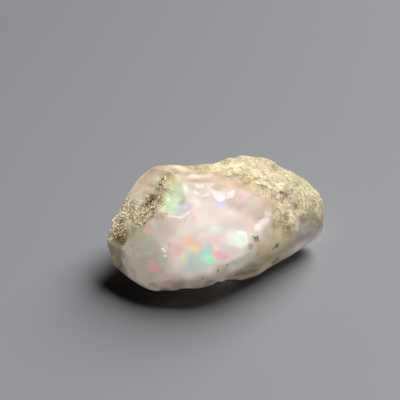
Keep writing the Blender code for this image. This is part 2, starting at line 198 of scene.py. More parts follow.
# Milky opal, then the tones that differ from it: place, reach, colour, strength
MILK = (225, 212, 201)
TONES = {
    # Partly a smoky grey tint of the opal, partly painted shade: the open face darkens towards its lower left, which
    # turns away from the light
    "smoky, low left, painted shade": ((-13.5, -5.0, 5.6), 6.5, (168, 156, 136), 0.8),
    "smoky, left, painted shade": ((-13.4, -0.8, 8.0), 3.4, (174, 162, 136), 0.7),
    "beige bevel": ((-9.0, -8.6, 2.6), 3.6, (186, 166, 148), 0.8),
    "beige bevel, middle": ((-4.6, -9.4, 3.0), 2.6, (190, 170, 150), 0.8),
    "beige bevel, right": ((-1.5, -9.2, 4.4), 2.4, (206, 188, 166), 0.7),
    # Partly the lobe's own olive colour, partly painted shade on the lobe low at the foot, which faces down
    "olive lobe, left": ((0.4, -8.6, 2.4), 2.0, (166, 146, 118), 0.85),
    "lobe": ((3.4, -8.0, 2.6), 3.0, (164, 146, 114), 0.85),
    "waxy side": ((8.6, -7.0, 6.0), 4.2, (216, 199, 154), 0.9),
    "waxy side, upper": ((8.4, -6.4, 8.6), 2.4, (208, 190, 154), 0.8),
    "waxy side, low": ((9.0, -6.6, 3.0), 3.4, (190, 172, 130), 0.8),
    "waxy side, left": ((5.2, -8.0, 6.2), 2.2, (200, 184, 150), 0.7),
    "waxy side, right": ((12.0, -5.2, 5.4), 2.8, (186, 174, 154), 0.9),
    "grey right end": ((14.6, -4.2, 6.0), 3.4, (158, 152, 140), 0.9),
    "tan bulge": ((-10.5, 7.0, 11.5), 5.0, (212, 188, 162), 0.9),
    "tan bulge, foot": ((-12.0, 4.8, 10.0), 1.8, (230, 220, 202), 0.8),
    "tan bulge, top": ((-6.6, 9.2, 13.2), 4.2, (154, 134, 110), 0.9),
    "tan saddle": ((-2.0, 6.8, 13.6), 3.2, (186, 160, 128), 0.9),
    "tan, left of the peach": ((-4.4, 4.4, 14.0), 2.6, (152, 136, 108), 0.9),
    "peach under the crown": ((1.6, 1.8, 15.2), 2.4, (172, 144, 108), 0.9),
    "peach, left": ((-0.5, 3.8, 14.4), 2.8, (172, 146, 110), 0.9),
    "peach, front": ((3.6, -1.0, 15.1), 1.9, (176, 146, 110), 0.9),
    "peach, right": ((5.4, -2.6, 14.5), 2.6, (162, 132, 98), 0.9),
    "peach, far right": ((7.2, -4.0, 13.2), 2.0, (178, 150, 120), 0.9),
    "rosy, top right": ((2.6, -3.2, 13.9), 2.6, (190, 162, 150), 0.8),
    "beige, upper right": ((5.2, -4.8, 12.6), 2.4, (200, 182, 162), 0.8),
    "grey by the dent": ((10.0, -3.0, 12.1), 1.9, (140, 130, 118), 0.95),
    "grey by the patch": ((12.5, -4.6, 8.2), 1.5, (182, 170, 150), 0.85),
    "waxy low, left": ((5.8, -7.6, 3.8), 2.4, (178, 160, 120), 0.85),
    "peach, above the triangle": ((0.2, 0.2, 14.8), 1.6, (200, 172, 144), 0.8),
    "cream by the ridge": ((6.5, -1.2, 15.1), 1.5, (206, 190, 150), 0.9),
    "pale above the lobe": ((1.2, -8.8, 6.3), 2.6, (255, 249, 228), 0.95),
    "peach, above it, right": ((1.9, -0.5, 14.9), 1.6, (200, 172, 144), 0.8),
    "rosy, left of middle": ((-8.8, -2.4, 10.2), 3.0, (202, 184, 172), 0.75),
    "waxy side, by the streak": ((6.8, -7.0, 9.5), 1.8, (196, 178, 146), 0.8),
    "tan bulge, right": ((-9.4, 6.8, 12.2), 2.2, (196, 174, 148), 0.8),
    "lump by the ridge": ((5.2, -7.9, 8.2), 1.4, (214, 196, 158), 0.7),
    "rosy, by the scallop": ((-6.3, -2.4, 11.5), 1.6, (206, 188, 178), 0.7),
    "back, low": ((2.0, 8.0, 3.0), 5.0, (200, 184, 160), 0.8),
    "back, left": ((-12.0, 7.5, 5.5), 4.0, (212, 196, 174), 0.7),
    "right end, behind": ((14.4, 1.4, 3.6), 3.2, (164, 146, 118), 0.75),
    "left end, low": ((-16.0, 1.6, 3.0), 2.6, (162, 144, 114), 0.7),
    "tan bulge, crest": ((-5.8, 6.2, 13.8), 2.2, (160, 138, 110), 0.9),
    # Painted shade: the right end's edge is darkened to hold down the light that shines through it from behind
    "right end's edge, painted shade": ((17.4, -2.4, 5.8), 2.8, (116, 112, 104), 0.95),
    "smoky, by the left patch": ((-14.0, -0.2, 7.7), 1.5, (146, 134, 106), 0.8),
    # Darker patches low on the back, near the floor
    "back, darker low": ((-4.0, 7.8, 2.4), 2.8, (158, 136, 104), 0.75),
    "back, darker low right": ((9.0, 5.2, 2.4), 2.4, (156, 134, 102), 0.75),
    "back, darker low left": ((-12.8, 6.0, 3.8), 2.6, (160, 140, 108), 0.7),
}

# Host rock, then its tones
CREAM = (174, 162, 130)
ROCK_TONES = {
    "tan tail": ((-1.6, 6.8, 13.6), 2.8, (160, 144, 108), 0.85),
    "crown, by the front edge": ((8.4, -0.6, 15.0), 2.0, (192, 180, 148), 0.7),
    "crown, middle low": ((6.1, -0.4, 15.4), 1.8, (204, 192, 160), 0.7),
    "crown, left": ((2.0, 4.8, 14.8), 3.0, (222, 208, 170), 0.7),
    "olive, left end": ((2.9, 4.6, 14.8), 1.1, (166, 154, 108), 0.7),
    "crown, left middle": ((3.4, 2.2, 15.4), 1.9, (216, 204, 168), 0.75),
    "crown, right": ((11.4, 0.6, 13.8), 3.4, (170, 159, 128), 0.7),
    "green right shoulder": ((14.9, -0.6, 11.6), 2.4, (177, 168, 132), 0.6),
    "olive under the patch": ((10.6, -5.5, 8.9), 1.4, (162, 148, 111), 0.8),
    "tan patch": ((9.8, -4.8, 10.4), 2.8, (198, 184, 150), 0.8),
    "tan edge": ((4.6, -1.0, 15.3), 2.2, (185, 165, 129), 0.7),
    "above the dent": ((10.0, -1.6, 13.5), 1.3, (208, 196, 164), 0.8),
    "by the dent": ((9.9, -3.0, 12.2), 1.2, (164, 154, 140), 0.7),
    "pale, left of the hollow": ((-13.0, 4.6, 9.5), 2.6, (178, 166, 138), 0.8),
    "pale trail": ((-6.4, 5.6, 13.4), 2.2, (164, 150, 120), 0.7),
    "pale above the pit": ((-10.0, 5.1, 11.4), 1.6, (206, 192, 158), 0.8),
    "pale foot of the hollow": ((-12.5, 0.4, 9.3), 1.5, (214, 200, 164), 0.8),
    "dark pit": ((-9.7, 3.3, 10.8), 0.9, (110, 94, 64), 0.6),
    "left patch's foot": ((-15.4, 0.2, 6.8), 2.0, (104, 90, 60), 0.85),
    # Painted shade: the crest is darkened so that it doesn't show the light that falls on it
    "crest, painted shade": ((10.2, -5.0, 10.0), 1.0, (136, 124, 94), 0.75),
    "grey green shoulder": ((13.4, 0.0, 12.7), 1.6, (146, 140, 108), 0.7),
    "valley": ((12.0, -3.6, 9.8), 1.4, (190, 178, 146), 0.8),
    "left patch, upper": ((-15.7, 3.4, 7.4), 1.2, (212, 202, 176), 0.8),
    "pale, left of the trail": ((-8.9, 5.1, 12.0), 1.1, (206, 190, 158), 0.8),
}

# Glossy places, where the roughness falls: place, reach
GLOSSY = {
    "glossy step": ((0.3, -1.7, 14.0), 2.2),
    "glossy crescent": ((-2.7, 0.6, 13.9), 1.6),
    "scallop's rim": ((-6.9, -1.5, 11.8), 1.6),
    "ridge": ((5.2, -6.5, 10.6), 1.8),
    "chip on the face": ((-9.6, -5.6, 7.6), 0.9),
    "white green flash": ((1.4, -7.6, 9.5), 1.6),
}

# The broad pale rims of scars, a dark rim, stains and painted highlights: places along each, half width, colour,
# strength
STROKES = {
    "scallop's rim, left": ([(-8.7, -0.7, 11.1), (-8.3, -1.3, 11.1), (-7.7, -1.8, 11.15), (-7.1, -2.1, 11.3)], 0.24, (248, 238, 222), 0.6),
    "scallop's rim": ([(-7.1, -2.1, 11.3), (-6.5, -2.35, 11.35), (-5.9, -2.45, 11.5), (-5.1, -2.35, 11.8)], 0.27, (252, 240, 230), 0.6),
    "scallop's rim, right": ([(-5.1, -2.35, 11.8), (-4.1, -2.2, 12.25), (-3.1, -2.0, 12.65)], 0.28, (248, 230, 220), 0.35),
    "step's rim": ([(-4.5, 3.2, 14.3), (-5.1, 1.6, 13.2), (-5.0, 0.7, 12.9), (-4.0, -1.2, 12.8)], 0.15, (250, 238, 220), 0.7),
    # Painted highlights: the glossy crescent and the top glint stand in for the lamp's reflection on the top of the
    # open face
    "glossy crescent": ([(-3.4, 0.3, 13.5), (-2.7, -0.6, 13.5), (-1.6, -1.1, 13.7)], 0.24, (250, 240, 230), 0.85),
    "glint, top": ([(-0.6, 0.2, 14.7), (-0.4, 0.0, 14.7)], 0.2, (255, 250, 244), 0.9),
    "left rim": ([(-15.6, -0.6, 6.0), (-15.6, -1.7, 5.4), (-15.7, -3.0, 4.4), (-15.3, -4.6, 3.1)], 0.16,
                 (92, 78, 58), 0.6),
    "specks' stain, ridge": ([(4.3, -7.6, 9.4), (4.6, -8.0, 8.9)], 0.22, (134, 118, 80), 0.6),
    "specks' stain, foot": ([(7.4, -6.8, 2.7), (8.4, -6.6, 2.8), (9.0, -6.3, 2.8)], 0.34, (118, 98, 66), 0.6),
    # Painted highlight: a pale line along the ridge, part of the bright streak
    "ridge": ([(6.8, -5.2, 12.0), (6.3, -5.8, 11.5)], 0.26, (236, 216, 198), 0.7),
    "rim above the steps": ([(-3.9, 2.4, 14.2), (-2.2, 1.3, 14.5), (-0.6, 0.6, 14.9)], 0.35, (200, 176, 148), 0.5),
    "lip above the steps": ([(-4.4, 3.1, 14.2), (-3.5, 2.8, 14.4), (-2.1, 1.9, 14.7), (-0.9, 1.3, 15.0), (-0.1, 1.4, 15.1)], 0.7,
                            (190, 166, 138), 0.65),
}

# Flat patches on the open face and along the foot, some the stone's own colour and some painted highlights: the
# corners of each, its colour and its strength
CHIPS_AND_HIGHLIGHTS = {
    # Painted highlights: the white triangle and the white patch stand in for the lamp's reflection on the top of the
    # open face
    "white triangle": ([(-1.3, -0.3, 14.3), (1.0, -1.6, 14.1), (0.9, -2.8, 13.7), (-0.3, -2.7, 13.3), (-0.8, -1.9, 13.5)],
                       (246, 232, 228), 0.85),
    "white triangle, right": ([(1.0, -1.6, 14.1), (2.6, -1.8, 14.6), (2.1, -2.9, 14.0), (0.9, -2.8, 13.7)], (242, 226, 222), 0.85),
    "white patch": ([(-3.3, 1.8, 14.2), (-2.3, 1.8, 14.6), (-1.6, 0.9, 14.6), (-2.0, 0.0, 14.1), (-3.0, 0.8, 13.9)],
                    (252, 236, 222), 0.8),
    # Painted highlight: the bright streak along the ridge
    "bright streak": ([(6.4, -5.6, 11.5), (6.9, -5.8, 11.2), (6.7, -6.2, 10.7), (5.7, -6.5, 10.5), (4.9, -6.3, 11.0),
                       (5.5, -5.9, 11.3)], (250, 234, 224), 0.75),
    # Pale chips in the face: their white is partly the chips' own and partly painted highlight
    "face chip, upper": ([(-10.1, -4.8, 8.0), (-9.6, -5.1, 8.0), (-9.3, -5.8, 7.6), (-9.6, -5.7, 7.4), (-10.0, -5.2, 7.7)],
                         (255, 252, 240), 0.95),
    "face chip, lower": ([(-10.0, -5.8, 7.2), (-9.3, -5.9, 7.4), (-9.3, -6.3, 7.1), (-9.8, -6.2, 6.9)],
                         (244, 246, 230), 0.75),
    # Partly the olive colour of the left end's facet, partly painted shade on it, as it faces away from the light
    "olive face": ([(-15.4, 0.5, 6.8), (-15.8, -3.4, 4.1), (-17.0, -3.2, 1.8), (-18.6, 0.0, 3.2), (-18.2, 2.2, 6.0)],
                   (124, 110, 78), 0.85),
    "olive face, low": ([(-15.9, -2.9, 4.6), (-15.2, -5.0, 2.8), (-15.6, -5.2, 1.6), (-17.2, -2.6, 2.4)],
                        (112, 98, 76), 0.85),
    "bevel": ([(-13.6, -6.6, 2.8), (-10.9, -7.7, 3.8), (-4.9, -9.4, 4.2), (-4.9, -9.2, 1.4), (-13.6, -6.2, 1.0)],
              (156, 134, 112), 0.25),
    # Partly the lobe's own olive colour, partly painted shade on the downward-facing lobe
    "olive lobe": ([(-0.8, -8.9, 3.0), (1.5, -8.3, 3.4), (5.7, -7.6, 2.8), (4.8, -7.9, 2.1), (2.5, -8.2, 2.2)],
                   (116, 102, 62), 0.75),
    "cream fleck": ([(3.3, -7.2, 10.0), (4.2, -7.3, 9.9), (4.3, -7.9, 9.2), (3.4, -7.9, 9.0), (3.0, -7.7, 9.4)],
                    (240, 232, 200), 0.7),
    # Painted highlight: the triangle's whitest middle
    "white triangle's middle": ([(-0.7, -1.4, 13.8), (1.0, -2.3, 13.9), (0.4, -2.8, 13.5), (-0.3, -2.7, 13.3)],
                                (255, 255, 250), 0.8),
    # Painted highlight: the bright streak's lower end
    "bright streak, low": ([(5.6, -6.4, 10.7), (4.9, -6.3, 11.0), (4.2, -6.5, 10.8), (4.2, -7.1, 10.1), (5.0, -7.1, 10.0)],
                            (255, 240, 232), 0.85),
    # Partly olive colour, partly painted shade on the lobe
    "olive lobe, upper": ([(0.5, -8.5, 3.8), (2.8, -8.3, 4.2), (5.4, -7.7, 3.9), (6.1, -7.4, 2.7), (1.0, -8.4, 3.2)],
                           (150, 134, 96), 0.6),
    "bright green": ([(-3.7, -8.0, 7.3), (-3.0, -8.1, 7.2), (-2.0, -8.9, 6.5), (-3.3, -8.8, 6.5)], (150, 244, 186), 0.7),
    "white flash": ([(1.6, -6.7, 10.5), (3.0, -6.9, 10.4), (3.1, -7.4, 9.7), (3.2, -8.0, 8.9), (1.9, -8.5, 8.2),
                     (1.1, -8.1, 8.7)], (255, 252, 242), 0.85),
    "white flash's middle": ([(0.6, -7.2, 9.9), (2.7, -7.2, 9.9), (2.8, -7.8, 9.1), (2.1, -8.3, 8.4), (1.0, -8.2, 8.6),
                              (0.4, -7.6, 9.3)], (226, 244, 222), 0.7),
}
PATCH_EDGE = 0.16

# Dark lines where the rock breaks off: as the pale rims are given
ROCK_LINES = {
    "dent": ([(9.8, -2.3, 12.9), (10.3, -2.3, 12.3), (11.1, -2.6, 11.6), (11.7, -2.8, 11.1), (12.2, -3.3, 10.4)], 0.5,
             (104, 90, 60), 0.7),
    "crown's front edge": ([(4.7, -1.1, 15.2), (5.9, -1.5, 14.9), (6.9, -1.9, 14.6), (8.1, -2.4, 14.0)], 0.24,
                           (96, 80, 48), 0.8),
    "crown's edge, right": ([(8.1, -2.4, 14.0), (9.3, -2.3, 13.0), (10.1, -2.2, 12.7)], 0.24, (100, 84, 54), 0.65),
    "line above it": ([(7.5, 0.3, 15.4), (8.3, -0.2, 15.1), (9.0, -0.8, 14.6), (10.1, -0.9, 13.8)], 0.18,
                      (124, 108, 70), 0.5),
    "line, right": ([(11.4, 0.0, 13.6), (12.4, -0.6, 13.0), (13.2, -0.8, 12.4)], 0.18, (112, 100, 62), 0.7),
    "dark pit": ([(-10.6, 2.9, 10.2), (-10.1, 3.0, 10.5), (-9.6, 3.2, 10.9), (-9.1, 3.4, 11.5)], 0.46, (82, 64, 36), 0.85),
}

# Side by side lines: places along their tops and along their feet, how many, colours, strength
ROCK_FIBRES = ([(12.7, -1.5, 12.1), (14.0, -1.2, 11.6), (15.0, -1.2, 11.0), (16.5, -2.0, 9.0)],
               [(12.7, -3.5, 9.9), (13.9, -3.2, 9.5), (15.0, -3.2, 8.6), (16.0, -3.3, 7.6)],
               22, [(112, 96, 60), (222, 212, 178)], 0.7)
OPAL_FIBRES = ([(12.3, -4.1, 9.4), (14.2, -3.6, 8.6), (16.2, -3.2, 7.4)],
               [(12.3, -5.1, 6.5), (14.3, -4.7, 4.4), (16.1, -4.2, 4.7)],
               18, [(104, 96, 84), (206, 198, 186)], 0.75)
FIBRE_WIDTH, FIBRE_SEED = 0.13, 17

# The fire's flashes: place, half width along and up the open face, turn in degrees, colour, strength
FLASHES = {
    "glow": ((-3.2, -7.2, 8.6), 4.8, 2.0, 0, (250, 236, 228), 0.5),
    "red spot": ((-11.3, -6.5, 5.4), 0.52, 0.48, 0, (255, 112, 168), 0.95),
    "red spot's glow": ((-11.5, -6.3, 5.5), 1.3, 0.8, 0, (235, 178, 176), 0.5),
    "pink by the chip": ((-7.9, -6.0, 8.1), 1.2, 1.0, -30, (240, 190, 184), 0.7),
    "orange, left": ((-5.9, -5.9, 9.3), 1.25, 0.9, -20, (255, 206, 184), 0.95),
    "orange, low": ((-4.7, -6.6, 8.8), 0.9, 0.85, -25, (255, 206, 176), 0.95),
    "yellow below the orange": ((-5.2, -6.8, 8.3), 0.95, 0.55, -15, (255, 234, 176), 0.9),
    "yellow green": ((-6.8, -7.1, 7.1), 0.65, 0.8, 0, (246, 240, 184), 0.9),
    "blue grey": ((-5.0, -7.9, 6.8), 2.2, 1.5, 0, (184, 206, 198), 0.85),
    "teal": ((-3.1, -7.5, 8.3), 0.9, 1.15, -15, (196, 226, 220), 0.9),
    "green teal": ((-3.7, -7.7, 7.7), 0.95, 0.85, 0, (176, 226, 210), 0.9),
    "peach": ((-2.0, -7.7, 8.3), 0.5, 0.75, 0, (255, 230, 190), 0.9),
    "magenta": ((-1.4, -8.4, 7.5), 1.4, 0.62, -10, (255, 178, 198), 0.95),
    "grey teal": ((-0.5, -7.9, 8.5), 1.1, 0.8, 0, (206, 220, 212), 0.85),
    "pink, low right": ((0.6, -8.5, 8.0), 0.9, 0.8, 30, (244, 202, 198), 0.75),
    "pale pink, left": ((-3.1, -6.4, 9.9), 1.22, 0.73, 0, (255, 230, 226), 0.90),
    "pale pink, right": ((-1.8, -6.9, 9.5), 1.9, 1.05, -20, (255, 218, 217), 0.95),
    "pale green, right": ((-1.6, -6.1, 10.8), 1.2, 0.75, 0, (230, 246, 226), 0.8),
    "pink below the scallop": ((-4.5, -3.4, 11.7), 0.5, 0.55, 0, (246, 186, 184), 0.85),
    "rust below the sand": ((-8.8, -1.5, 10.8), 0.4, 0.42, 0, (218, 162, 146), 0.8),
    "violet": ((-0.1, -3.0, 13.3), 0.85, 0.95, 0, (216, 202, 236), 0.8),
    "pink, top right": ((3.4, -3.4, 14.0), 1.1, 0.85, 0, (214, 178, 170), 0.5),
    "pink, right": ((3.8, -6.2, 11.3), 0.6, 1.3, 0, (246, 208, 198), 0.65),
    "dull red, left": ((-11.4, -1.4, 9.1), 1.1, 0.6, 0, (222, 166, 156), 0.75),
    "grey green, left": ((-11.8, -3.6, 7.7), 1.5, 1.7, 0, (182, 186, 166), 0.6),
    "green, low left": ((-10.5, -6.3, 6.3), 0.85, 0.7, 0, (184, 206, 174), 0.6),
    "grey green, low": ((-6.1, -8.5, 5.7), 2.0, 0.85, 0, (182, 198, 176), 0.6),
    "green, low right": ((3.3, -8.6, 6.9), 1.0, 0.85, 30, (226, 232, 200), 0.7),
    "scallop, pale green": ((-5.7, 1.3, 12.6), 1.3, 2.9, 0, (226, 234, 204), 0.85),
    "scallop, left": ((-7.9, 0.9, 11.5), 0.7, 2.3, 8, (196, 206, 166), 0.8),
    "scallop, green": ((-6.5, 1.4, 12.2), 1.3, 2.3, 10, (226, 240, 202), 0.85),
    "scallop, keen green": ((-7.2, 0.0, 11.5), 1.0, 1.0, 20, (168, 202, 148), 0.8),
    "scallop, blue": ((-6.3, -0.7, 11.8), 0.8, 0.8, 0, (176, 190, 194), 0.8),
    "scallop, lilac": ((-5.3, -1.5, 12.2), 1.1, 1.0, 0, (190, 182, 190), 0.8),
    "scallop, yellow": ((-6.3, 3.7, 13.5), 1.1, 0.8, 30, (222, 206, 152), 0.8),
    "scallop, orange": ((-6.1, 4.5, 13.8), 0.85, 0.7, 20, (204, 182, 140), 0.8),
    "white flash": ((1.2, -7.3, 9.7), 2.0, 1.3, -12, (255, 246, 238), 0.9),
    "bright green": ((-3.2, -8.2, 7.0), 0.95, 0.65, -25, (176, 248, 204), 0.95),
    "scallop, top left": ((-6.4, 4.3, 13.3), 0.6, 0.6, 0, (240, 222, 170), 0.85),
}
FIRE_ALONG = np.array([0.97, -0.24, 0.0])
FIRE_UP = np.array([0.16, 0.62, 0.77])
FIRE_DEPTH = 2.5
FIRE_SQUARE = 2.4
FIRE_BEND = (0.3, 1.3, 63)
# The fire is a mosaic: its tiles' size, their seed, and how much of a tile's colour is its own
TILE_SIZE, TILE_SEED, TILE_SHARE = 0.42, 5, 0.3
FAINT_SIZE, FAINT_SEED, FAINT_STRENGTH = 3.2, 61, 0.28
TONE_WANDER, TONE_SIZE, TONE_SEED = 0.4, 1.8, 51
STROKE_BEND = (0.18, 0.8, 57)
FAINT_HUES = [(250, 176, 180), (176, 226, 190), (252, 206, 160), (170, 206, 222), (216, 196, 236), (226, 226, 170)]

# Sand and grit: how many are tried, the gap kept between them, and their largest radius
SAND_TRIES, SAND_GAP, SAND_LARGEST = 20000, 0.15, 0.17
CRUST_TRIES, CRUST_GAP, CRUST_LARGEST = 22000, 0.2, 0.1
SPARSE_TRIES, SPECK_GAP, SPECK_LARGEST = 200, 0.13, 0.08
SPARSE_SIZE, SPARSE_SEED = 2.0, 71
SMALLEST_SHARE = 0.45

# Grains are darker or lighter where the rock's lightness is below or above this, fully so half a range away
GRAIN_MIDDLE, GRAIN_RANGE = 0.35, 0.55

# Where dark specks crowd: place, reach, how many are tried, their largest radius
SPECKS = {
    "olive, left end": ((2.6, 4.6, 15.2), 1.6, 60, 0.08),
    "crown's tail": ((-1.4, 7.0, 14.2), 2.0, 40, 0.08),
    "crown's front": ((5.0, -0.6, 15.5), 2.2, 40, 0.08),
    "crown's front, right": ((7.6, -1.2, 14.8), 1.8, 60, 0.08),
    "ridge": ((8.0, -3.0, 13.2), 1.8, 50, 0.08),
    "dent": ((10.4, -2.6, 12.0), 1.6, 120, 0.09),
    "dent, low": ((12.2, -3.8, 9.8), 1.2, 40, 0.08),
    "patch": ((9.4, -5.6, 9.8), 1.5, 120, 0.1),
    "patch's foot": ((9.9, -5.7, 8.9), 0.9, 60, 0.11),
    "right shoulder": ((14.2, -0.8, 12.0), 2.2, 70, 0.08),
    "right tip": ((15.8, -2.0, 9.6), 1.6, 40, 0.08),
    "scallop's edge": ((-7.4, 2.4, 12.6), 1.0, 26, 0.09),
    "scallop, green grit": ((-6.9, 2.6, 12.3), 0.9, 26, 0.08),
    "lump by the ridge": ((4.4, -7.8, 9.2), 0.7, 90, 0.11),
    "lump's foot": ((3.4, -8.3, 8.3), 0.5, 40, 0.1),
    "side": ((7.9, -7.0, 6.5), 0.6, 70, 0.11),
    "side, low": ((7.4, -7.2, 6.2), 0.4, 20, 0.08),
    "side, faint": ((4.7, -8.2, 6.4), 0.5, 10, 0.08),
    "foot": ((8.2, -6.6, 2.7), 0.9, 40, 0.1),
    "bevel, right": ((-0.5, -9.1, 6.1), 0.35, 6, 0.13),
    "bevel, middle": ((-2.0, -9.3, 5.4), 0.35, 6, 0.14),
    "bevel, left": ((-4.6, -9.4, 4.5), 0.4, 6, 0.12),
    "left patch's foot": ((-15.6, 1.2, 6.6), 1.2, 60, 0.11),
    "dark pit": ((-9.7, 3.4, 10.8), 0.8, 60, 0.12),
    "cream fleck": ((3.7, -7.6, 9.5), 0.5, 10, 0.08),
    "below the dent": ((11.3, -4.2, 10.2), 1.3, 60, 0.08),
    "trail": ((-5.7, 6.2, 13.8), 1.3, 40, 0.08),
    "back, low": ((-2.0, 8.0, 3.4), 3.4, 40, 0.08),
}
# The rock's streaks run along the crown's front edge
STREAK_TURN = (0.0, math.radians(21.0), math.radians(-32.0))
SANDY_PATCHES = [name for name in SKIN_PATCHES if name.startswith(("sandy", "hollow", "left patch"))]

# Light and camera. Directions point from the stone
KEY_FROM = (0.608, 0.492, 0.623)
KEY_DISTANCE, KEY_SIZE, KEY_POWER = 2.5, 1.8, 98.0
BOX_FROM = (0.15, -0.1, 0.98)
BOX_DISTANCE, BOX_SIZE, BOX_POWER = 0.6, 0.42, 3.4
LOW_FROM = (-0.1, -0.9, 0.43)
LOW_DISTANCE, LOW_SIZE, LOW_POWER = 0.6, 0.4, 1.15
SKY_STRENGTH = 0.005
FLOOR_SIZE = 3.0
CAMERA_TURN, CAMERA_RISE = math.radians(-14.0), math.radians(40.0)
CAMERA_LENS, CAMERA_DISTANCE = 100.0, 0.17634
CAMERA_AIM = (0.0, 0.0, 0.0085)
AIM_PIXEL = (215.91, 214.52)
PICTURE = 400.0
SENSOR = 36.0


def smooth_max(a, b, width):
    """The larger of two fields, with the crease between them rounded over a width."""
    near = np.maximum(width - np.abs(a - b), 0.0) / width
    return np.maximum(a, b) + near * near * width * 0.25


def smooth_step(value, low, high):
    t = np.clip((value - low) / (high - low), 0.0, 1.0)
    return t * t * (3.0 - 2.0 * t)


def sample_noise(points, size, seed):
    """Soft noise in -1..1 at each point, with bumps of about a given size."""
    cells = points / size + seed * NOISE_SHIFT
    corner = np.floor(cells)
    blend = smooth_step(cells - corner, 0.0, 1.0)
    total = np.zeros(points.shape[:-1])
    for step in itertools.product((0.0, 1.0), repeat=3):
        weight = np.prod(np.where(step, blend, 1.0 - blend), axis=-1)
        tangle = np.sin((corner + step) @ NOISE_TANGLE) * NOISE_SPREAD
        total += weight * (tangle - np.floor(tangle))
    return total * 2.0 - 1.0


def layered_noise(points, size, seed, layers=3):
    """Noise with finer, fainter layers added."""
    total = np.zeros(points.shape[:-1])
    for layer in range(layers):
        finer = 2.0 ** layer
        total += sample_noise(points, size / finer, seed + layer * LAYER_SHIFT) / finer
    return total


def hull_faces():
    """The flat faces of the corners' hull, as outward normals and distances from the heart."""
    bm = bmesh.new()
    for corner in CORNERS:
        bm.verts.new(corner)
    bmesh.ops.convex_hull(bm, input=bm.verts)
    loose = [v for v in bm.verts if not v.link_faces]
    bmesh.ops.delete(bm, geom=loose, context="VERTS")
    bmesh.ops.dissolve_limit(bm, angle_limit=FACE_MERGE, verts=bm.verts, edges=bm.edges)
    heart = Vector(HEART)
    normals = []
    offsets = []
    for face in bm.faces:
        face.normal_update()
        normal = face.normal.normalized()
        offset = normal.dot(face.calc_center_median() - heart)
        side = 1.0 if offset > 0.0 else -1.0
        normals.append((normal * side)[:])
        offsets.append(offset * side)
    bm.free()
    return np.array(normals), np.array(offsets)


def bend(points, height, size, seed):
    """A soft shift of each point, so that round rims and flat faces come out uneven."""
    shift = [sample_noise(points, size, seed + axis) * height for axis in range(3)]
    return np.stack(shift, axis=-1)


def body_field(points, faces, shift=0.0):
    """How far points lie outside the rounded hull, in millimetres; negative inside."""
    normals, offsets = faces
    flat = np.sort((points + shift - HEART) @ normals.T - offsets, axis=-1)
    field = flat[..., -1]
    for rank in range(2, BLENDED_FACES + 1):
        field = smooth_max(field, flat[..., -rank], EDGE_ROUND)
    return smooth_max(field, -points[..., 2], REST_ROUND)


def solve_surface(directions, field, rounds=22):
    """The surface point along each direction from the heart, found by halving."""
    near = np.zeros(len(directions))
    far = np.full(len(directions), REACH)
    for _ in range(rounds):
        middle = (near + far) / 2.0
        inside = field(HEART + directions * middle[:, None]) < 0.0
        near = np.where(inside, middle, near)
        far = np.where(inside, far, middle)
    return HEART + directions * near[:, None]


def unit(vectors):
    return vectors / np.linalg.norm(vectors, axis=-1, keepdims=True)


def bites(faces):
    """The spheres that cut the scars: their centres and radii."""
    places = np.array([place for place, width, depth, softness in SCARS.values()])
    widths = np.array([width for place, width, depth, softness in SCARS.values()])
    depths = np.array([depth for place, width, depth, softness in SCARS.values()])
    on_body = solve_surface(unit(places - HEART), lambda p: body_field(p, faces))
    slopes = [
        body_field(on_body + step, faces) - body_field(on_body - step, faces)
        for step in np.eye(3) * SLOPE_STEP
    ]
    outward = unit(np.stack(slopes, axis=-1))
    radii = widths ** 2 / (8.0 * depths) + depths / 2.0
    centres = on_body + outward * (radii - depths)[:, None]
    return centres, radii


def stone_field():
    """A function for how far points lie outside the stone, its scars cut."""
    faces = hull_faces()
    centres, radii = bites(faces)
    creases = [softness for place, width, depth, softness in SCARS.values()]

    def field(points):
        broad = bend(points, BROAD_BEND, BROAD_SIZE, BROAD_SEED)
        fine = bend(points, FINE_BEND, FINE_SIZE, FINE_SEED)
        value = body_field(points, faces, broad * HULL_SHARE)
        bent = points + broad + fine
        for centre, radius, crease in zip(centres, radii, creases):
            bite = radius - np.linalg.norm(bent - centre, axis=-1)
            value = smooth_max(value, bite, crease)
        return value

    return field


def skin_cover(points, patches=SKIN_PATCHES):
    """How fully the host rock covers each point, 0 to 1, with a wandering edge, and its dust."""
    reach = np.full(len(points), -REACH)
    for name in patches:
        place, radius = SKIN_PATCHES[name]
        reach = np.maximum(reach, radius - np.linalg.norm(points - np.array(place), axis=-1))
    near = np.abs(reach) < SKIN_WANDER * 2.0 + DUST_REACH
    wander = np.zeros(len(points))
    wander[near] = layered_noise(points[near], SKIN_WANDER_SIZE, SKIN_WANDER_SEED, 2) * SKIN_WANDER
    reach += wander
    return smooth_step(reach, 0.0, SKIN_EDGE), smooth_step(reach, -DUST_REACH, SKIN_EDGE)


def cube_directions(steps):
    """Unit directions on a cube-shaped grid, and the grid's four-sided faces."""
    index = {}
    rows = []
    quads = []

    def vertex(key):
        if key not in index:
            index[key] = len(rows)
            rows.append([math.tan((k / steps - 0.5) * math.pi / 2.0) for k in key])
        return index[key]

    for axis in range(3):
        for side in (0, steps):
            for i in range(steps):
                for j in range(steps):
                    ring = []
                    for di, dj in ((0, 0), (1, 0), (1, 1), (0, 1)):
                        key = [0, 0, 0]
                        key[axis] = side
                        key[(axis + 1) % 3] = i + di
                        key[(axis + 2) % 3] = j + dj
                        ring.append(vertex(tuple(key)))
                    quads.append(ring if side else ring[::-1])
    return unit(unit(np.array(rows)) * GRID_STRETCH), quads


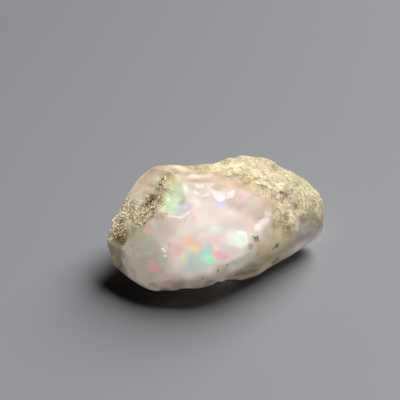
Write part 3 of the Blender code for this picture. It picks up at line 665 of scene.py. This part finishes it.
def stone_surface(steps):
    """The stone's points to size in millimetres, its masks and its faces."""
    directions, quads = cube_directions(steps)
    points = solve_surface(directions, stone_field())
    cover, dust = skin_cover(points)
    sandy, _ = skin_cover(points, SANDY_PATCHES)
    swell = layered_noise(points, OPAL_SWELL_SIZE, OPAL_SWELL_SEED) * OPAL_SWELL
    lumps = layered_noise(points, SKIN_LUMPS_SIZE, SKIN_LUMPS_SEED) * SKIN_LUMPS
    calm = smooth_step(points[:, 2], 0.0, REST_CALM)
    rise = (swell + cover * (SKIN_THICKNESS + lumps)) * calm
    crust = layered_noise(points, CRUST_SIZE, CRUST_SEED) * CRUST_RELIEF
    ripple = layered_noise(points, RIPPLE_SIZE, RIPPLE_SEED) * RIPPLE_RELIEF
    solid = points + directions * rise[:, None]
    finer = (cover * crust + (1.0 - cover) * ripple) * calm
    points = solid + directions * finer[:, None]
    solid[:, 2] = np.maximum(solid[:, 2], 0.0)
    points[:, 2] = np.maximum(points[:, 2], 0.0)
    return to_size(points, solid), cover, dust, sandy, quads


def to_size(points, solid):
    """The points scaled as the solid is to the stone's length, centred, resting at zero."""
    low = solid.min(axis=0)
    high = solid.max(axis=0)
    middle = (low + high) / 2.0
    middle[2] = low[2]
    return (points - middle) * (LENGTH / (high - low)[0])


def linear(colour):
    """A colour given as screen values up to 255, as linear light."""
    c = np.asarray(colour, float) / 255.0
    return np.where(c < 0.04045, c / 12.92, ((c + 0.055) / 1.055) ** 2.4)


def tiles(points, size, seed):
    """The middle of the irregular tile that each point is in, and a number in 0..1 for each tile."""
    home = np.floor(points / size)
    best = np.full(len(points), np.inf)
    middles = np.zeros_like(points)
    for step in itertools.product((-1.0, 0.0, 1.0), repeat=3):
        cell = home + step
        jitter = [tangled(cell, seed + axis) for axis in range(3)]
        middle = (cell + np.stack(jitter, axis=-1)) * size
        away = np.linalg.norm(points - middle, axis=-1)
        nearer = away < best
        best = np.where(nearer, away, best)
        middles[nearer] = middle[nearer]
    return middles, tangled(np.round(middles / size * 8.0), seed + 3)


def tangled(cells, seed):
    """An even random number in 0..1 for each whole-numbered cell."""
    tangle = np.sin((cells + seed * NOISE_SHIFT) @ NOISE_TANGLE) * NOISE_SPREAD
    return tangle - np.floor(tangle)


def flash_share(points, place, along, up, turn):
    """How much of a flash shows at each point: 1 in its middle, 0 outside."""
    offset = points - np.array(place)
    x, y = offset @ FIRE_ALONG, offset @ FIRE_UP
    c, s = math.cos(math.radians(turn)), math.sin(math.radians(turn))
    across = np.abs(x * c + y * s) / along
    rise = np.abs(y * c - x * s) / up
    deep = np.abs(offset @ np.cross(FIRE_ALONG, FIRE_UP)) / FIRE_DEPTH
    away = (across ** FIRE_SQUARE + rise ** FIRE_SQUARE + deep ** FIRE_SQUARE) ** (1.0 / FIRE_SQUARE)
    return 1.0 - smooth_step(away, 0.35, 1.4)


def nearness(points, place, reach):
    """1 within about half the reach of a place, falling to 0 at its reach."""
    return 1.0 - smooth_step(np.linalg.norm(points - np.array(place), axis=-1), reach * 0.45, reach)


def toned(points, base, tones):
    """A base colour at each point, changed by the tones around their places, with uneven edges."""
    colours = np.tile(linear(base), (len(points), 1))
    uneven = points + bend(points, TONE_WANDER, TONE_SIZE, TONE_SEED)
    for place, reach, colour, strength in tones.values():
        blend(colours, colour, nearness(uneven, place, reach) * strength)
    return colours


def blend(colours, colour, share):
    """Moves the colours towards one colour by a share for each point."""
    colours += (linear(colour) - colours) * share[:, None]


def stroke_share(points, places, half_width):
    """1 along a line through places on the stone, falling to 0 at its half width."""
    away = np.full(len(points), np.inf)
    for start, end in itertools.pairwise(np.array(places)):
        along = np.clip((points - start) @ (end - start) / np.sum((end - start) ** 2), 0.0, 1.0)
        away = np.minimum(away, np.linalg.norm(points - start - along[:, None] * (end - start), axis=-1))
    return 1.0 - smooth_step(away, half_width * 0.5, half_width)


def patch_share(points, corners):
    """1 inside a flat many-sided patch on the open face, a chip or a painted highlight, given by its corners, and 0
    outside it.
    """
    axes = np.stack([FIRE_ALONG, FIRE_UP], axis=-1)
    flat = points @ axes
    ring = np.array(corners) @ axes
    inside = np.full(len(points), np.inf)
    for start, end in zip(ring, np.roll(ring, -1, axis=0)):
        inward = unit(np.array([start[1] - end[1], end[0] - start[0]]))
        inward *= np.sign((ring.mean(axis=0) - start) @ inward)
        inside = np.minimum(inside, (flat - start) @ inward)
    deep = np.abs((points - np.mean(corners, axis=0)) @ np.cross(FIRE_ALONG, FIRE_UP))
    return smooth_step(inside, 0.0, PATCH_EDGE) * (deep < FIRE_DEPTH)


def draw_fibres(colours, points, fibres, dice):
    """Thin lines side by side, each from a place along the tops to one along the feet."""
    tops, feet, count, shades, strength = fibres
    for share in (np.arange(count) + dice.uniform(0.0, 1.0, count)) / count:
        ends = [[np.interp(share * (len(rail) - 1), range(len(rail)), axis) for axis in np.transpose(rail)]
                for rail in (tops, feet)]
        shade = shades[dice.integers(len(shades))]
        width = FIBRE_WIDTH * dice.uniform(0.6, 1.4)
        blend(colours, shade, stroke_share(points, ends, width) * strength * dice.uniform(0.4, 1.0))


def rock_colours(points):
    """The host rock's own colour at each point."""
    colours = toned(points, CREAM, ROCK_TONES)
    uneven = points + bend(points, *STROKE_BEND)
    for places, half_width, colour, strength in ROCK_LINES.values():
        blend(colours, colour, stroke_share(uneven, places, half_width) * strength)
    draw_fibres(colours, points, ROCK_FIBRES, np.random.default_rng(FIBRE_SEED))
    return colours


def opal_colours(points):
    """The opal's own colour at each point: milk, its tones, and the fire's flashes."""
    colours = toned(points, MILK, TONES)
    middles, lot = tiles(points, TILE_SIZE, TILE_SEED)
    patches = smooth_step(sample_noise(middles, FAINT_SIZE, FAINT_SEED), -0.1, 0.6) * FAINT_STRENGTH
    hues = linear(FAINT_HUES)[(lot * len(FAINT_HUES)).astype(int)]
    faint = patches * smooth_step(tangled(np.round(middles * 8.0), TILE_SEED), 0.3, 1.0)
    colours += (hues - colours) * faint[:, None]
    uneven = points + bend(points, *FIRE_BEND)
    for place, along, up, turn, colour, strength in FLASHES.values():
        tiled = flash_share(middles, place, along, up, turn)
        plain = flash_share(uneven, place, along, up, turn)
        blend(colours, colour, (tiled * TILE_SHARE + plain * (1.0 - TILE_SHARE)) * strength)
    for corners, colour, strength in CHIPS_AND_HIGHLIGHTS.values():
        blend(colours, colour, patch_share(points, corners) * strength)
    uneven = points + bend(points, *STROKE_BEND)
    for places, half_width, colour, strength in STROKES.values():
        blend(colours, colour, stroke_share(uneven, places, half_width) * strength)
    draw_fibres(colours, points, OPAL_FIBRES, np.random.default_rng(FIBRE_SEED))
    return colours


def set_attribute(mesh, name, kind, domain, values):
    """Writes one value, or one row of values, per point or face."""
    field = {"FLOAT": "value", "FLOAT_COLOR": "color"}[kind]
    attribute = mesh.attributes.new(name, kind, domain)
    attribute.data.foreach_set(field, np.asarray(values, dtype=np.float32).ravel())


def as_piece(name, mesh, material):
    """A piece of the stone that rides with it and stands for its solid."""
    mesh.materials.append(material)
    piece = bpy.data.objects.new(name, mesh)
    bpy.context.scene.collection.objects.link(piece)
    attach(piece, "root")
    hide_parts("opal")
    stone_pieces.objects.link(piece)


def add(tree, kind, inputs=None, **settings):
    """A shader node, its inputs set to values or joined to other nodes' outputs."""
    node = tree.nodes.new("ShaderNode" + kind)
    for name, value in settings.items():
        setattr(node, name, value)
    for name, value in (inputs or {}).items():
        if isinstance(value, bpy.types.NodeSocket):
            tree.links.new(value, node.inputs[name])
        else:
            node.inputs[name].default_value = value
    return node


def mixed(tree, share, low, high, blend="MIX"):
    """The output of a node that mixes two colours."""
    node = tree.nodes.new("ShaderNodeMix")
    node.data_type = "RGBA"
    node.blend_type = blend
    for index, value in ((0, share), (6, low), (7, high)):
        if isinstance(value, bpy.types.NodeSocket):
            tree.links.new(value, node.inputs[index])
        else:
            node.inputs[index].default_value = value
    return node.outputs[2]


def ranged(tree, value, from_low, from_high, to_low=0.0, to_high=1.0):
    """The output of a node that maps one range of values to another."""
    node = add(tree, "MapRange", {
        "Value": value, "From Min": from_low, "From Max": from_high, "To Min": to_low, "To Max": to_high,
    })
    return node.outputs["Result"]


def maths(tree, operation, *values):
    """The output of a node for one step of arithmetic."""
    return add(tree, "Math", dict(enumerate(values)), operation=operation).outputs[0]


def noise(tree, place, size_mm, detail=2.0, roughness=0.5):
    """Blender's own noise, with bumps of about a size in millimetres."""
    return add(tree, "TexNoise", {
        "Vector": place, "Scale": 1.0 / (size_mm * MM), "Detail": detail, "Roughness": roughness,
    }).outputs["Fac"]


def rgba(colour):
    return (*linear(colour), 1.0)


def new_material(name):
    material = bpy.data.materials.new(name)
    material.use_nodes = True
    tree = material.node_tree
    return material, tree, tree.nodes["Principled BSDF"]


def join(tree, shader, **inputs):
    """Sets or joins the shader's inputs. An underscore in a name stands for a space."""
    for name, value in inputs.items():
        socket = shader.inputs[name.replace("_", " ")]
        if isinstance(value, bpy.types.NodeSocket):
            tree.links.new(value, socket)
        else:
            socket.default_value = value


def stone_material():
    material, tree, shader = new_material("opal-and-host-rock")
    place = add(tree, "TexCoord").outputs["Object"]
    dust = add(tree, "Attribute", attribute_name="dust").outputs["Fac"]
    sandy = add(tree, "Attribute", attribute_name="sandy").outputs["Fac"]
    gloss = add(tree, "Attribute", attribute_name="gloss").outputs["Fac"]
    tint = add(tree, "Attribute", attribute_name="tint").outputs["Color"]
    rock_tint = add(tree, "Attribute", attribute_name="rock").outputs["Color"]

    ragged = maths(tree, "MULTIPLY_ADD", noise(tree, place, 0.5, 4.0, 0.7), 1.6, -0.8)
    crusted = ranged(tree, maths(tree, "ADD", dust, ragged), 0.4, 0.8)

    clouds = ranged(tree, noise(tree, place, 1.8), 0.35, 0.65, 0.0, 0.15)
    opal = mixed(tree, clouds, tint, rgba((240, 228, 226)))
    mottle = noise(tree, place, 0.5, 5.0, 0.75)
    blotches = mixed(tree, ranged(tree, mottle, 0.35, 0.62), (0.84, 0.81, 0.73, 1.0), (1.35, 1.39, 1.48, 1.0))
    cream = mixed(tree, 1.0, rock_tint, blotches, "MULTIPLY")
    drawn = add(tree, "Mapping", {
        "Vector": place, "Rotation": STREAK_TURN, "Scale": (7.0, 1.0, 1.0),
    }, vector_type="TEXTURE")
    streaks = ranged(tree, noise(tree, drawn.outputs["Vector"], 0.35, 3.0, 0.6), 0.34, 0.44, 0.65, 0.0)
    pits = ranged(tree, noise(tree, place, 0.28, 3.0, 0.7), 0.3, 0.4, 0.35, 0.0)
    crust = mixed(tree, maths(tree, "MAXIMUM", streaks, pits), cream, rgba((118, 100, 62)))
    between = mixed(tree, ranged(tree, mottle, 0.35, 0.65), (0.24, 0.19, 0.11, 1.0), (0.75, 0.67, 0.51, 1.0))
    rock = mixed(tree, sandy, crust, mixed(tree, 1.0, rock_tint, between, "MULTIPLY"))
    colour = mixed(tree, crusted, opal, rock)

    worn = ranged(tree, noise(tree, place, 0.7, 3.0), 0.3, 0.7, 0.34, 0.48)
    polished = ranged(tree, gloss, 0.0, 1.0, worn, 0.1)
    roughness = ranged(tree, crusted, 0.0, 1.0, polished, 0.85)
    fine = noise(tree, place, 0.16, 3.0, 0.6)
    soft = noise(tree, place, 0.6, 2.0)
    height = mixed(tree, crusted, maths(tree, "MULTIPLY", soft, 0.12), fine)
    bump = add(tree, "Bump", {"Height": height, "Strength": 0.6, "Distance": 0.12 * MM})
    join(tree, shader, Base_Color=colour, Roughness=roughness, Normal=bump.outputs["Normal"],
         Subsurface_Weight=ranged(tree, crusted, 0.0, 1.0, 0.65, 0.1),
         Subsurface_Radius=(1.0, 0.85, 0.75), Subsurface_Scale=3.0 * MM, IOR=1.45)
    return material


def grain_material(name, dark, light, roughness):
    """Mineral grains whose colour goes from dark to light by the grain."""
    material, tree, shader = new_material(name)
    place = add(tree, "TexCoord").outputs["Object"]
    shade = add(tree, "Attribute", attribute_name="shade").outputs["Fac"]
    flecks = ranged(tree, noise(tree, place, 0.12, 2.0), 0.3, 0.7, -0.2, 0.2)
    colour = mixed(tree, maths(tree, "ADD", shade, flecks), rgba(dark), rgba(light))
    bump = add(tree, "Bump", {"Height": noise(tree, place, 0.05, 2.0), "Strength": 0.4, "Distance": 0.02 * MM})
    join(tree, shader, Base_Color=colour, Normal=bump.outputs["Normal"],
         Roughness=ranged(tree, shade, 0.0, 1.0, roughness, roughness * 0.6))
    return material


def scattered(points, weights, tries, gap, dice):
    """Indices of points picked by weight that keep a gap between each other."""
    order = dice.choice(len(points), size=tries, p=weights / weights.sum())
    taken = {}
    kept = []
    for index in order:
        cell = tuple(np.floor(points[index] / gap).astype(int))
        around = itertools.product(*[(c - 1, c, c + 1) for c in cell])
        if all(np.linalg.norm(points[index] - taken[c]) > gap for c in around if c in taken):
            taken[cell] = points[index]
            kept.append(index)
    return np.array(kept)


def grain_mesh(name, places, normals, sizes, sink, shades, dice):
    """Small lopsided grains, each closed, sunk a little into the surface, each with its own shade."""
    bm = bmesh.new()
    bmesh.ops.create_icosphere(bm, subdivisions=1, radius=1.0)
    shape = np.array([v.co[:] for v in bm.verts])
    faces = np.array([[v.index for v in f.verts] for f in bm.faces])
    bm.free()
    count = len(places)
    turns, _ = np.linalg.qr(dice.normal(size=(count, 3, 3)))
    turns[:, :, 0] *= np.linalg.det(turns)[:, None]
    stretch = dice.uniform(0.6, 1.15, size=(count, 1, 3))
    knocks = dice.uniform(0.82, 1.15, size=(count, len(shape), 1))
    local = (shape[None] * knocks * stretch) @ turns * sizes[:, None, None]
    centres = places + normals * (sizes * sink)[:, None]
    rows = (local + centres[:, None]).reshape(-1, 3)
    rows[:, 2] = np.maximum(rows[:, 2], 0.02)
    rings = (faces[None] + (np.arange(count) * len(shape))[:, None, None]).reshape(-1, 3)
    mesh = bpy.data.meshes.new(name)
    mesh.from_pydata((rows * MM).tolist(), [], rings.tolist())
    set_attribute(mesh, "shade", "FLOAT", "FACE", np.repeat(shades, len(faces)))
    return mesh


def make_stone():
    points, cover, dust, sandy, quads = stone_surface(GRID_STEPS)
    mesh = bpy.data.meshes.new("stone")
    mesh.from_pydata((points * MM).tolist(), [], quads)
    mesh.shade_smooth()
    set_attribute(mesh, "dust", "FLOAT", "POINT", dust)
    set_attribute(mesh, "sandy", "FLOAT", "POINT", sandy)
    opaque = np.ones((len(points), 1))
    set_attribute(mesh, "tint", "FLOAT_COLOR", "POINT", np.hstack([opal_colours(points), opaque]))
    rock = rock_colours(points)
    set_attribute(mesh, "rock", "FLOAT_COLOR", "POINT", np.hstack([rock, opaque]))
    gloss = np.max([nearness(points, place, reach) for place, reach in GLOSSY.values()], axis=0)
    set_attribute(mesh, "gloss", "FLOAT", "POINT", gloss)
    as_piece("stone", mesh, stone_material())
    normals = np.zeros(len(points) * 3)
    mesh.vertex_normals.foreach_get("vector", normals)
    return points, normals.reshape(-1, 3), cover, sandy, rock.mean(axis=1)


def crowded(points, cover, dice):
    """Points for dark specks, crowded at named places and sparse over the rock, and their largest radii."""
    patchy = smooth_step(sample_noise(points, SPARSE_SIZE, SPARSE_SEED), 0.0, 0.8) * (cover > 0.6)
    picked = [scattered(points, patchy, SPARSE_TRIES, SPECK_GAP, dice)]
    largest = [np.full(len(picked[0]), SPECK_LARGEST)]
    for place, reach, tries, radius in SPECKS.values():
        picked.append(scattered(points, nearness(points, place, reach), tries, SPECK_GAP, dice))
        largest.append(np.full(len(picked[-1]), radius))
    indices, first = np.unique(np.concatenate(picked), return_index=True)
    return indices, np.concatenate(largest)[first]


def make_grains(points, normals, cover, sandy, light):
    dice = np.random.default_rng(7)
    lift = np.clip((light - GRAIN_MIDDLE) / GRAIN_RANGE, -0.5, 0.5)
    in_hollow = np.where(sandy > 0.15, sandy * smooth_step(light, 0.0, 0.16), 0.0)
    on_crust = np.where((cover > 0.45) & (sandy < 0.3), cover * smooth_step(light, 0.1, 0.25), 0.0)
    sand = scattered(points, in_hollow, SAND_TRIES, SAND_GAP, dice)
    grit = scattered(points, on_crust, CRUST_TRIES, CRUST_GAP, dice)
    kinds = [
        ("sand-grains", sand, SAND_LARGEST, 0.35, grain_material("pale-sand", (132, 112, 72), (252, 242, 212), 0.5)),
        ("crust-grit", grit, CRUST_LARGEST, 0.1, grain_material("crust-grit", (156, 140, 100), (226, 214, 182), 0.8)),
        ("dark-specks", *crowded(points, cover, dice), 0.1, grain_material("dark-specks", (62, 48, 28), (160, 140, 94), 0.6)),
    ]
    for name, kept, largest, sink, material in kinds:
        radii = largest * dice.uniform(SMALLEST_SHARE, 1.0, len(kept))
        shades = np.clip(dice.uniform(0.0, 1.0, len(kept)) + lift[kept], 0.0, 1.0)
        as_piece(name, grain_mesh(name, points[kept], normals[kept], radii, sink, shades, dice), material)


def make_floor():
    mesh = bpy.data.meshes.new("floor")
    half = FLOOR_SIZE / 2.0
    mesh.from_pydata([(-half, -half, 0), (half, -half, 0), (half, half, 0), (-half, half, 0)], [], [(0, 1, 2, 3)])
    material, tree, shader = new_material("floor-paper")
    place = add(tree, "TexCoord").outputs["Object"]
    parts = add(tree, "SeparateXYZ", {"Vector": place}).outputs
    # Painted light falloff: the floor's colour runs from darker at the back left to lighter at the front right,
    # standing in for light that falls off across it
    along = maths(tree, "MULTIPLY_ADD", parts["Y"], -1.3, parts["X"])
    painted_falloff = mixed(tree, ranged(tree, along, -0.13, 0.13), rgba((146, 147, 150)), rgba((172, 173, 177)))
    join(tree, shader, Base_Color=painted_falloff, Roughness=0.9, Specular_IOR_Level=0.2)
    mesh.materials.append(material)
    floor = bpy.data.objects.new("floor", mesh)
    bpy.context.scene.collection.objects.link(floor)


def make_light(name, direction, distance, size, power, only=None):
    """A soft round light aimed at the stone. Given a collection, it lights nothing else."""
    light = bpy.data.lights.new(name, "AREA")
    light.shape = "DISK"
    light.size = size
    light.energy = power
    lamp = bpy.data.objects.new(name, light)
    out = Vector(direction).normalized()
    lamp.location = out * distance + Vector(CAMERA_AIM)
    lamp.rotation_euler = out.to_track_quat("Z", "Y").to_euler()
    bpy.context.scene.collection.objects.link(lamp)
    if only:
        lamp.light_linking.receiver_collection = only


def make_studio():
    make_light("key", KEY_FROM, KEY_DISTANCE, KEY_SIZE, KEY_POWER)
    make_light("box", BOX_FROM, BOX_DISTANCE, BOX_SIZE, BOX_POWER, stone_pieces)
    make_light("low", LOW_FROM, LOW_DISTANCE, LOW_SIZE, LOW_POWER, stone_pieces)
    world = bpy.data.worlds.new("studio")
    world.use_nodes = True
    world.node_tree.nodes["Background"].inputs["Strength"].default_value = SKY_STRENGTH
    world.node_tree.nodes["Background"].inputs["Color"].default_value = (1.0, 1.0, 1.0, 1.0)
    bpy.context.scene.world = world
    bpy.context.scene.view_settings.view_transform = "Standard"


def make_camera():
    """The photograph's viewpoint, aimed so that the stone's middle falls on its pixel."""
    turn, rise = CAMERA_TURN, CAMERA_RISE
    back = Vector((math.sin(turn) * math.cos(rise), -math.cos(turn) * math.cos(rise), math.sin(rise)))
    right = Vector((math.cos(turn), math.sin(turn), 0.0))
    up = back.cross(right)
    per_pixel = CAMERA_DISTANCE / (PICTURE * CAMERA_LENS / SENSOR)
    aside = -right * (AIM_PIXEL[0] - PICTURE / 2.0) + up * (AIM_PIXEL[1] - PICTURE / 2.0)
    data = bpy.data.cameras.new("camera")
    data.lens = CAMERA_LENS
    data.sensor_width = SENSOR
    data.clip_start = 0.01
    camera = bpy.data.objects.new("camera", data)
    camera.location = Vector(CAMERA_AIM) + back * CAMERA_DISTANCE + aside * per_pixel
    camera.rotation_euler = back.to_track_quat("Z", "Y").to_euler()
    bpy.context.scene.collection.objects.link(camera)
    bpy.context.scene.camera = camera


stone_pieces = bpy.data.collections.new("stone pieces")
make_camera()
make_studio()
make_floor()
make_grains(*make_stone())
